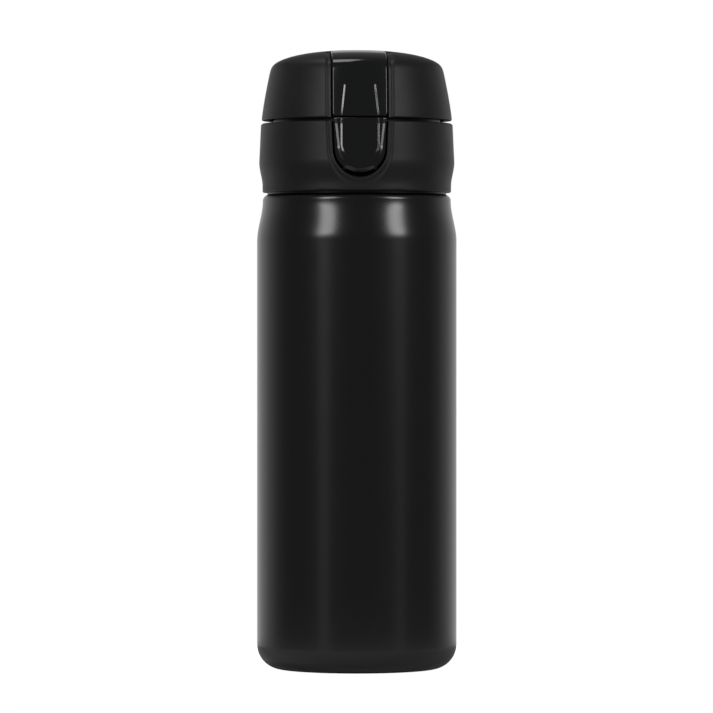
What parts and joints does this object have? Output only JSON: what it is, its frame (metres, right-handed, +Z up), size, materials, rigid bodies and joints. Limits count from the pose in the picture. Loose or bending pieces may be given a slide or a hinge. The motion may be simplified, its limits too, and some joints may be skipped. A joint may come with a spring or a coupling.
{
  "type": "vacuum flask",
  "caption": "Black one-touch vacuum flask with a push button, a sliding lock and a sprung flip lid over a drinking spout.",
  "frame": {"origin": "centre of the foot, on the surface that the flask stands on", "axes": "+Z up along the bottle's axis, -Y towards the button and the lock, +Y towards the lid hinge"},
  "size_m": [0.066, 0.0684, 0.2044],
  "materials": {
    "powder_coat": "satin",
    "bare_steel": "satin",
    "copper_foil": "satin",
    "getter_metal": "matte",
    "solder_glass": "gloss",
    "matte_black_plastic": "matte",
    "gloss_black_plastic": "gloss",
    "inner_black_plastic": "satin",
    "silicone": "matte",
    "latch_plastic": "satin",
    "spring_steel": "gloss"
  },
  "bodies": {
    "bottle": {"outer_shell": "powder_coat", "inner_vessel": "bare_steel", "insulation_foil": "copper_foil", "vacuum_getter": "getter_metal", "base_pan": "bare_steel", "vacuum_seal_bead": "solder_glass", "base_cover": "bare_steel"},
    "stopper_seal": {"stopper_gasket": "silicone"},
    "stopper": {"stopper_core": "inner_black_plastic", "stopper_collar": "matte_black_plastic", "spout": "inner_black_plastic", "spout_base_seal": "silicone", "hinge_pin": "spring_steel", "lid_spring": "spring_steel", "button_spring": "spring_steel"},
    "button": {"open_button": "gloss_black_plastic", "latch_slide": "latch_plastic"},
    "lid": {"lid_shell": "matte_black_plastic", "lid_liner": "inner_black_plastic", "spout_seal": "silicone"},
    "lock": {"lock_slider": "gloss_black_plastic", "lock_keeper": "latch_plastic"}
  },
  "joints": [
    {"name": "stopper_lift", "type": "slide", "parent": "bottle", "child": "stopper_seal", "axis": [0, 0, 1], "range_m": [0, 0.00625]},
    {"name": "stopper_turn", "type": "hinge", "parent": "stopper_seal", "child": "stopper", "pos_m": [0, 0, 0.1568], "axis": [0, 0, 1], "range_deg": [0, 450]},
    {"name": "lid_hinge", "type": "hinge", "parent": "stopper", "child": "lid", "pos_m": [0, 0.0324, 0.1808], "axis": [-1, 0, 0], "range_deg": [0, 165], "deforming": ["lid_spring"]},
    {"name": "button_press", "type": "slide", "parent": "stopper", "child": "button", "axis": [0, 1, 0], "range_m": [0, 0.0022], "stiffness_N_per_m": 400, "springref_m": -0.0015, "deforming": ["button_spring"]},
    {"name": "lock_slide", "type": "slide", "parent": "lid", "child": "lock", "axis": [0, 0.171, 0.9853], "range_m": [0, 0.002]}
  ],
  "couplings": [
    {"joint": "stopper_lift", "follows": "stopper_turn", "m_per_rad": 0.00079577}
  ]
}
